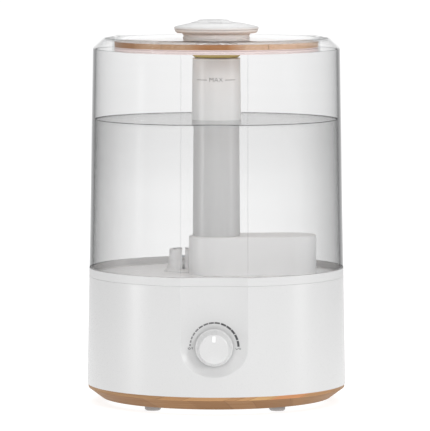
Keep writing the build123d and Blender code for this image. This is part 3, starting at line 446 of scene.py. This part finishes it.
# ------------------------------------------------------------------ mesh helpers
def add_mesh(name, verts, faces, materials, body, smooth=True):
    me = bpy.data.meshes.new(name)
    me.from_pydata([Vector(v) * MM for v in verts], [], faces)
    me.validate()
    bm = bmesh.new()
    bm.from_mesh(me)
    bmesh.ops.remove_doubles(bm, verts=bm.verts, dist=1e-7)
    bmesh.ops.recalc_face_normals(bm, faces=bm.faces)
    bm.to_mesh(me)
    bm.free()
    for m in materials:
        me.materials.append(m)
    for p in me.polygons:
        p.use_smooth = smooth
    ob = bpy.data.objects.new(name, me)
    scene.collection.objects.link(ob)
    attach(ob, body)
    return ob


def inner_r(a, z, gap):
    """Radius of the tank's inside at angle a and height z, less a gap: round, with the flute standing in at the front."""
    r = wall_r(z) - WALL_T - gap
    cy = FLUTE_Y + DRAFT * (z - KNOB_Z)
    fr = FLUTE_R + WALL_T + gap
    d = cy * math.sin(a)                        # how far along the ray the flute's centre lies
    disc = d * d - (cy * cy - fr * fr)
    if math.sin(a) < 0 and disc > 0:
        near = d - math.sqrt(disc)
        if 0 < near < r:
            k = 0.8                             # rounds the crease off a little
            return -k * math.log(math.exp(-near / k) + math.exp(-r / k)) if abs(near - r) < 12 else near
    return r


def lathe(profile, x=0.0, y=0.0, n=96):
    """Closed surface of revolution through (radius, z) points; points on the axis have radius 0."""
    verts, faces, rows = [], [], []
    for r, z in profile:
        if r < 1e-6:
            rows.append([len(verts)] * n)
            verts.append((x, y, z))
        else:
            rows.append(list(range(len(verts), len(verts) + n)))
            verts += [(x + r * math.cos(2 * math.pi * i / n), y + r * math.sin(2 * math.pi * i / n), z) for i in range(n)]
    closed = profile[0][0] > 1e-6 and profile[-1][0] > 1e-6
    pairs = list(zip(rows, rows[1:])) + ([(rows[-1], rows[0])] if closed else [])
    for lo, hi in pairs:
        for i in range(n):
            j = (i + 1) % n
            f = []
            for v in (lo[i], lo[j], hi[j], hi[i]):
                if v not in f:
                    f.append(v)
            if len(f) > 2:
                faces.append(tuple(f))
    return verts, faces


def carve(ob, verts, faces):
    """Takes a closed shape away from an object."""
    me = bpy.data.meshes.new("carver")
    me.from_pydata([Vector(v) * MM for v in verts], [], faces)
    bm = bmesh.new()
    bm.from_mesh(me)
    bmesh.ops.recalc_face_normals(bm, faces=bm.faces)
    bm.to_mesh(me)
    bm.free()
    tool = bpy.data.objects.new("carver", me)
    scene.collection.objects.link(tool)
    mod = ob.modifiers.new("carve", "BOOLEAN")
    mod.operation = "DIFFERENCE"
    mod.solver = "EXACT"
    mod.object = tool
    bpy.context.view_layer.update()
    done = bpy.data.meshes.new_from_object(ob.evaluated_get(bpy.context.evaluated_depsgraph_get()))
    ob.modifiers.remove(mod)
    old = ob.data
    ob.data = done
    bpy.data.meshes.remove(old)
    bpy.data.objects.remove(tool)
    bpy.data.meshes.remove(me)


def water_piece():
    """The water as one closed body: side, bottom, and a top that climbs the walls a little."""
    n = 240
    heights = [FLOOR_TOP + 0.6] + [FLOOR_TOP + 0.6 + (WATER_Z - FLOOR_TOP - 0.6) * i / 24 for i in range(1, 25)]
    verts, faces = [], []
    for k, z in enumerate(heights):
        up = 0.9 if k == len(heights) - 1 else 0.0
        for i in range(n):
            a = 2 * math.pi * i / n
            r = inner_r(a, z, 0.12)
            verts.append((r * math.cos(a), r * math.sin(a), z + up))
    for k in range(len(heights) - 1):
        for i in range(n):
            j = (i + 1) % n
            faces.append((k * n + i, k * n + j, (k + 1) * n + j, (k + 1) * n + i))
    faces.append(tuple(reversed(range(n))))
    top0 = (len(heights) - 1) * n
    prev = top0
    rings = []
    for inset, drop in ((0.5, 0.45), (1.1, 0.18), (2.0, 0.04), (3.4, 0.0)):
        start = len(verts)
        for i in range(n):
            a = 2 * math.pi * i / n
            r = inner_r(a, WATER_Z, 0.12) - inset
            verts.append((r * math.cos(a), r * math.sin(a), WATER_Z + drop))
        rings.append((prev, start))
        prev = start
    tops = []
    for lo, hi in rings:
        for i in range(n):
            j = (i + 1) % n
            tops.append((lo + i, lo + j, hi + j, hi + i))
    # the surface goes on to the mist tube and climbs it a little
    for r, z in ((60.0, 0.0), (24.0, 0.0), (20.6, 0.05), (19.4, 0.3), (18.75, 0.8), (15.0, 0.8)):
        start = len(verts)
        for i in range(n):
            a = 2 * math.pi * i / n
            verts.append((r * math.cos(a), r * math.sin(a), WATER_Z + z))
        for i in range(n):
            j = (i + 1) % n
            tops.append((prev + i, prev + j, start + j, start + i))
        prev = start
    tops.append(tuple(prev + i for i in range(n)))
    ob = add_mesh("water", verts, faces + tops, [WATER_SIDE, WATER_TOP, WATER_IN, WATER_RIM], "tank")
    # the mist chamber, the tube and the valve's guard stand in it
    carve(ob, *lathe([(0, 128.0), (18.95, 128.0), (18.40, 240.0), (0, 240.0)]))
    slot_v, slot_f, m = [], [], 64
    turn = math.atan2(8.0, 58.0)
    for z in (95.0, 133.2):
        for i in range(m):
            a = turn + math.pi / 2 + 2 * math.pi * i / m
            cx, cy = (0.0, 0.0) if i <= m // 2 else (58.0, 8.0)
            slot_v.append((cx + 22.15 * math.cos(a), cy + 22.15 * math.sin(a), z))
    slot_f = [tuple(range(m - 1, -1, -1)), tuple(range(m, 2 * m))] + [(i, (i + 1) % m, m + (i + 1) % m, m + i) for i in range(m)]
    carve(ob, slot_v, slot_f)
    carve(ob, *lathe([(0, 98.0), (15.9, 98.0), (15.9, 103.2), (13.7, 105.3), (12.0, 111.4), (11.9, 120.8), (0, 120.8)], VALVE_X, VALVE_Y, 72))
    for p in ob.data.polygons:
        c = p.center / MM
        far = math.hypot(c.x, c.y)
        if c.z > WATER_Z + 0.1 and inner_r(math.atan2(c.y, c.x), WATER_Z, 0.12) - 1.2 < far:
            p.material_index = 3 if p.normal.z > 0.2 else 0
        elif p.normal.z > 0.55 and c.z > WATER_Z - 1.5:
            p.material_index = 1
        elif far < inner_r(math.atan2(c.y, c.x), c.z, 0.12) - 1.5 or p.normal.z < -0.7:
            p.material_index = 2
        else:
            p.material_index = 0
        p.use_smooth = not (abs(p.normal.z) > 0.999 and c.z < WATER_Z - 1.5)
    return ob


water = water_piece()


# ------------------------------------------------------------------ the clear tank: its wall, and the lip, whose plastic is clearer
def slab(z0, z1, half=130.0):
    v = [(x, y, z) for z in (z0, z1) for x, y in ((-half, -half), (half, -half), (half, half), (-half, half))]
    return v, [(3, 2, 1, 0), (4, 5, 6, 7), (0, 1, 5, 4), (1, 2, 6, 5), (2, 3, 7, 6), (3, 0, 4, 7)]


def tank_piece():
    halves = []
    for k, cutter in enumerate((slab(LIP_SPLIT - 0.01, 400.0), slab(0.0, LIP_SPLIT + 0.01))):
        ob = bpy.data.objects.new("half", NODES["tank_wall"].data.copy())
        scene.collection.objects.link(ob)
        carve(ob, *cutter)
        halves.append(ob)
    bm = bmesh.new()
    for k, ob in enumerate(halves):
        first = len(bm.faces)
        bm.from_mesh(ob.data)
        bm.faces.ensure_lookup_table()
        for f in bm.faces[first:]:
            f.material_index = k
    me = bpy.data.meshes.new("tank_clear")
    bm.to_mesh(me)
    bm.free()
    for ob in halves:
        old = ob.data
        bpy.data.objects.remove(ob)
        bpy.data.meshes.remove(old)
    me.materials.append(SLOT["clear_plastic"])
    me.materials.append(LIP_CLEAR)
    for q in me.polygons:
        q.use_smooth = True
    me.set_sharp_from_angle(angle=math.radians(28))
    ob = bpy.data.objects.new("tank_clear", me)
    scene.collection.objects.link(ob)
    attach(ob, "tank")
    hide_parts("tank_wall")


tank_piece()


# ------------------------------------------------------------------ edges of the clear tank that show dark: dark absorbing beads that paint shade lines
def ring_piece(name, profile, material, n=192):
    v, f = lathe(profile, 0.0, 0.0, n)
    return add_mesh(name, v, f, [material], "tank")


# the flat of the lip, seen edge on, and the inside corner under the shoulder, as dark rings that paint shade lines
ring_piece("lip_edge", [(85.3, 290.35), (89.2, 290.35), (89.5, 290.6), (89.2, 291.05), (85.3, 291.05), (85.1, 290.7)], EDGE_PAINTED_SHADE)
corner_r, corner_z = wall_r(282.0) - WALL_T, 282.0
ring_piece("shoulder_edge", [(corner_r - 0.10 + 0.34 * math.cos(a), corner_z + 0.30 * math.sin(a)) for a in [2 * math.pi * i / 10 for i in range(10)]], BEAD_PAINTED_SHADE)


def crease_line(side):
    """Thin dark bead along the inside of the flute's edge, where the clear wall is thickest; it paints the shade line
    along the crease.
    """
    verts, faces, rows = [], [], []
    steps, m = 40, 8
    for k in range(steps + 1):
        z = 109.0 + (281.0 - 109.0) * k / steps
        d = next(d for d in range(80, 300) if inner_r(math.radians(-90 + side * d / 10), z, 0.0) > wall_r(z) - WALL_T - 0.5)
        a = math.radians(-90 + side * d / 10)
        r = wall_r(z) - WALL_T - 0.45
        cx, cy = r * math.cos(a), r * math.sin(a)
        rows.append(range(len(verts), len(verts) + m))
        grow = 1.0 if 0 < k < steps else 0.5
        for i in range(m):
            t = 2 * math.pi * i / m
            verts.append((cx + 0.42 * grow * math.cos(t), cy + 0.42 * grow * math.sin(t), z))
    for lo, hi in zip(rows, rows[1:]):
        for i in range(m):
            j = (i + 1) % m
            faces.append((lo[i], lo[j], hi[j], hi[i]))
    faces.append(tuple(reversed(rows[0])))
    faces.append(tuple(rows[-1]))
    return verts, faces


for side, word in ((-1, "left"), (1, "right")):
    v, f = crease_line(side)
    add_mesh("crease_" + word, v, f, [BEAD_PAINTED_SHADE], "tank")


# ------------------------------------------------------------------ dial print on the flute
def on_flute(x, y, lift=0.0):
    """Point of the flute's floor at x across and y up from the knob's axis, lifted off it, in the row frame (mm)."""
    deep = math.sqrt(FLUTE_R ** 2 - x * x)
    if y >= 0:
        z = -deep
        nx, ny, nz = -x / FLUTE_R, 0.0, deep / FLUTE_R
    else:
        rho = deep + PIVOT
        z = PIVOT - math.sqrt(rho * rho - y * y)
        nx, ny, nz = -x / FLUTE_R, -y / rho, (PIVOT - z) / rho
    x, y, z = x + nx * lift, y + ny * lift, z + nz * lift
    c, s = math.cos(LEAN), math.sin(LEAN)
    return (x, FLUTE_Y + y * s - z * c, KNOB_Z + y * c + z * s)


def dash(verts, faces, a0, a1, r0, r1, steps=6, lo=0.02, hi=0.07):
    """A slightly raised printed dash between two angles (degrees, 0 to the right, 90 up) and two radii."""
    start = len(verts)
    for i in range(steps + 1):
        a = math.radians(a0 + (a1 - a0) * i / steps)
        for r, lift in ((r0, -lo), (r1, -lo), (r1, hi), (r0, hi)):
            verts.append(on_flute(r * math.cos(a), r * math.sin(a) + DIAL_UP, lift))
    for i in range(steps):
        p, q = start + 4 * i, start + 4 * i + 4
        for k in range(4):
            faces.append((p + k, p + (k + 1) % 4, q + (k + 1) % 4, q + k))
    faces.append((start + 3, start + 2, start + 1, start))
    e = start + 4 * steps
    faces.append((e, e + 1, e + 2, e + 3))


DIAL_R, DIAL_UP = 18.9, 1.7            # the print's radius, and how far its middle is above the knob's axis
# middle of each dash (degrees), its length (degrees) and its width (mm); they grow toward the high end
DASHES = [(174.6, 4.0, 1.05), (166.2, 5.2, 1.05), (157.2, 6.3, 1.05), (147.2, 7.2, 1.05), (135.8, 8.2, 1.05), (123.7, 9.2, 1.05), (110.3, 9.9, 1.08),
          (97.0, 10.5, 1.1), (83.0, 11.0, 1.18), (67.6, 11.2, 1.28), (53.2, 11.2, 1.38), (39.2, 11.2, 1.48), (24.3, 11.6, 1.55), (8.5, 12.2, 1.55)]
for word, low, high, ink in (("low", 0, 5, PRINT_SOFT), ("mid", 5, 9, PRINT_MID), ("high", 9, 14, PRINT_DARK)):
    v, f = [], []
    for mid, length, width in DASHES[low:high]:
        dash(v, f, mid + length * 0.57, mid - length * 0.57, DIAL_R - width * 0.56, DIAL_R + width * 0.56)
    add_mesh("dial_dashes_" + word, v, f, [ink], "base", smooth=False)


def stroke(verts, faces, pts, width, lo=0.02, hi=0.05):
    """A printed line on the flute through (x, y) points."""
    start = len(verts)
    for i, (x, y) in enumerate(pts):
        x0, y0 = pts[max(0, i - 1)]
        x1, y1 = pts[min(len(pts) - 1, i + 1)]
        n = math.hypot(x1 - x0, y1 - y0)
        nx, ny = -(y1 - y0) / n * width / 2, (x1 - x0) / n * width / 2
        for sgn, lift in ((-1, -lo), (1, -lo), (1, hi), (-1, hi)):
            verts.append(on_flute(x + sgn * nx, y + sgn * ny + DIAL_UP, lift))
    for i in range(len(pts) - 1):
        p, q = start + 4 * i, start + 4 * i + 4
        for k in range(4):
            faces.append((p + k, p + (k + 1) % 4, q + (k + 1) % 4, q + k))
    faces.append((start + 3, start + 2, start + 1, start))
    e = start + 4 * (len(pts) - 1)
    faces.append((e, e + 1, e + 2, e + 3))


def arc(cx, cy, rx, ry, a0, a1, n=14):
    return [(cx + rx * math.cos(math.radians(a0 + (a1 - a0) * i / n)), cy + ry * math.sin(math.radians(a0 + (a1 - a0) * i / n))) for i in range(n + 1)]


# small signs at the two ends of the dial: a drop of mist, and a plume of it
v, f = [], []
stroke(v, f, arc(-19.4, -1.0, 0.95, 0.62, 0, 350), 0.42)
stroke(v, f, [(-17.8, -0.45), (-17.1, -0.4), (-16.5, -0.45)], 0.40)
stroke(v, f, [(-17.15, -0.4), (-17.1, -1.65)], 0.40)
stroke(v, f, arc(17.6, -0.8, 0.85, 0.8, 170, 350), 0.42)
stroke(v, f, [(18.7, -0.95), (19.3, -1.15), (19.8, -1.45), (20.3, -1.55), (20.8, -1.35)], 0.40)
stroke(v, f, [(19.0, -0.4), (19.7, -0.5), (20.2, -0.75), (20.9, -0.7)], 0.36)
add_mesh("dial_signs", v, f, [PRINT_MID], "base", smooth=False)


# ------------------------------------------------------------------ level mark on the mist sleeve
def text_outline(body, size):
    cu = bpy.data.curves.new("mark", "FONT")
    cu.body = body
    cu.size = size
    cu.align_x = "CENTER"
    cu.align_y = "CENTER"
    cu.resolution_u = 3
    cu.offset = -0.10
    ob = bpy.data.objects.new("mark", cu)
    scene.collection.objects.link(ob)
    bpy.context.view_layer.update()
    me = bpy.data.meshes.new_from_object(ob.evaluated_get(bpy.context.evaluated_depsgraph_get()))
    bpy.data.objects.remove(ob)
    bpy.data.curves.remove(cu)
    return me


def sleeve_r(z):
    lo, hi = 19.7, 19.0
    return lo + (hi - lo) * (z - 221.5) / (274.9 - 221.5)


def level_mark():
    me = text_outline("MAX", 5.2)
    bm = bmesh.new()
    bm.from_mesh(me)
    bpy.data.meshes.remove(me)
    for sgn in (-1, 1):
        x0, x1 = sorted((sgn * 7.3, sgn * 17.3))
        cols = [x0 + (x1 - x0) * i / 10 for i in range(11)]
        lower = [bm.verts.new((x, -0.16, 0)) for x in cols]
        upper = [bm.verts.new((x, 0.16, 0)) for x in cols]
        for i in range(10):
            bm.faces.new((lower[i], lower[i + 1], upper[i + 1], upper[i]))
    bmesh.ops.triangulate(bm, faces=bm.faces)
    bmesh.ops.subdivide_edges(bm, edges=[e for e in bm.edges if e.calc_length() > 1.2], cuts=1)
    bmesh.ops.triangulate(bm, faces=bm.faces)
    for v in bm.verts:
        z = MAX_Z + v.co.y
        a = v.co.x / sleeve_r(z)
        r = sleeve_r(z) + 0.04
        v.co = Vector((r * math.sin(a), -r * math.cos(a), z)) * MM
    me = bpy.data.meshes.new("level_mark")
    bmesh.ops.recalc_face_normals(bm, faces=bm.faces)
    for f in bm.faces:
        f.normal_update()
        if f.normal.dot(Vector((f.calc_center_median().x, f.calc_center_median().y, 0))) < 0:
            f.normal_flip()
    bm.to_mesh(me)
    bm.free()
    me.materials.append(PRINT_DARK)
    ob = bpy.data.objects.new("level_mark", me)
    scene.collection.objects.link(ob)
    so = ob.modifiers.new("skin", "SOLIDIFY")
    so.thickness = 0.06 * MM
    so.offset = 1.0
    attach(ob, "tank")


level_mark()


# ------------------------------------------------------------------ small light pieces inside dark gaps
v, f = lathe([(7.8, 104.3), (8.42, 104.3), (8.42, 112.2), (7.8, 112.2)], VALVE_X, VALVE_Y, 72)
add_mesh("valve_strainer", v, f, [FLOOR_WHITE], "tank")


def drip_guard():
    """Curved baffle a little way behind the nozzle's slot."""
    verts, faces, n = [], [], 12
    for i in range(n + 1):
        x = -4.3 + 11.0 * i / n
        y = -math.sqrt(15.3 ** 2 - x * x)
        for dy, z in ((0.0, 303.34), (1.0, 303.34), (1.0, 304.01), (0.0, 304.01)):
            verts.append((-2.3 + x, 1.5 + y + dy, z))
    for i in range(n):
        a, b = 4 * i, 4 * i + 4
        for k in range(4):
            faces.append((a + k, a + (k + 1) % 4, b + (k + 1) % 4, b + k))
    faces.append((3, 2, 1, 0))
    e = 4 * n
    faces.append((e, e + 1, e + 2, e + 3))
    add_mesh("drip_guard", verts, faces, [CAP_WHITE], "nozzle", smooth=False)


drip_guard()


# ------------------------------------------------------------------ floor, light, camera
def floor():
    me = bpy.data.meshes.new("floor")
    s = 40.0
    me.from_pydata([(-s, -s, 0), (s, -s, 0), (s, s, 0), (-s, s, 0)], [], [(0, 1, 2, 3)])
    m, nt, out = fresh("floor_pale")
    co = coords(nt)
    tone = ramp(nt, noise(nt, co, 3.0, 2.0), [(0.3, 0.40), (0.7, 0.42)])
    d = new(nt, "ShaderNodeBsdfDiffuse", {"Color": tone})
    # a lit lane that widens away from the viewer, and darker floor beside it
    xyz = new(nt, "ShaderNodeSeparateXYZ", {"Vector": co}).outputs
    beside = math_node(nt, "MULTIPLY_ADD", xyz[1], -0.06, math_node(nt, "ABSOLUTE", xyz[0]))
    lane = spread(nt, beside, 0.26, 0.80, 1.0, 0.30)
    along = math_node(nt, "ADD", spread(nt, xyz[1], 0.05, 0.30, 0.80, 0.725), spread(nt, xyz[1], 3.0, 12.0, 0.0, 0.10))
    glow = math_node(nt, "MULTIPLY", along, lane)
    e = new(nt, "ShaderNodeEmission", {"Color": (1, 1, 1, 1), "Strength": glow})
    add = new(nt, "ShaderNodeAddShader", {0: d.outputs[0], 1: e.outputs[0]})
    nt.links.new(add.outputs[0], out.inputs["Surface"])
    me.materials.append(m)
    ob = bpy.data.objects.new("floor", me)
    scene.collection.objects.link(ob)


def world():
    w = bpy.data.worlds.new("studio")
    scene.world = w
    w.use_nodes = True
    nt = w.node_tree
    nt.nodes.clear()
    out = nt.nodes.new("ShaderNodeOutputWorld")
    d = new(nt, "ShaderNodeTexCoord").outputs["Generated"]
    xyz = new(nt, "ShaderNodeSeparateXYZ", {"Vector": d}).outputs
    side = spread(nt, xyz[2], 0.20, 0.75, 0.08, 0.95)
    behind = math_node(nt, "MULTIPLY", spread(nt, xyz[1], 0.90, 0.975, 0.0, 0.95), spread(nt, xyz[2], 0.10, 0.24, 1.0, 0.0))
    bg = new(nt, "ShaderNodeBackground", {"Color": (1, 1, 1, 1), "Strength": math_node(nt, "ADD", side, behind)})
    nt.links.new(bg.outputs[0], out.inputs["Surface"])


def area(name, loc, target, size, power, colour=(1, 1, 1)):
    li = bpy.data.lights.new(name, "AREA")
    li.shape = "RECTANGLE"
    li.size, li.size_y = size
    li.energy = power
    li.color = colour
    ob = bpy.data.objects.new(name, li)
    ob.location = loc
    ob.rotation_euler = (Vector(target) - Vector(loc)).to_track_quat("-Z", "Y").to_euler()
    scene.collection.objects.link(ob)


floor()
world()
area("key", (2.0, -2.9, 1.10), (0, 0, 0.12), (0.6, 0.6), 29.0)
area("front", (-0.3, -3.7, 1.02), (0, 0, 0.16), (1.4, 1.0), 21.0)
area("side_right", (1.55, -0.30, 0.17), (0, 0, 0.1), (0.27, 0.34), 2.4)
area("side_left", (-1.5, -0.45, 0.17), (0, 0, 0.1), (0.27, 0.34), 3.9)
area("top", (0.1, -0.1, 2.2), (0, 0, 0.1), (1.6, 1.6), 10.0)
area("back", (0.2, 2.4, 1.7), (0, 0, 0.15), (1.6, 0.8), 12.0)

cam = bpy.data.cameras.new("camera")
cam.lens = 36.0 * 4106.0 / 431.0
cam.sensor_width = 36.0
cam.shift_x = -1.4 / 431.0
cam.clip_end = 200.0
cam_ob = bpy.data.objects.new("camera", cam)
cam_ob.location = (math.sin(math.radians(1.0)) * 3.275, -math.cos(math.radians(1.0)) * 3.275, 0.4068)
cam_ob.rotation_euler = (Vector((0, 0, 0.1488)) - cam_ob.location).to_track_quat("-Z", "Y").to_euler()
scene.collection.objects.link(cam_ob)
scene.camera = cam_ob
scene.view_settings.view_transform = "Standard"
scene.cycles.transparent_max_bounces = 32
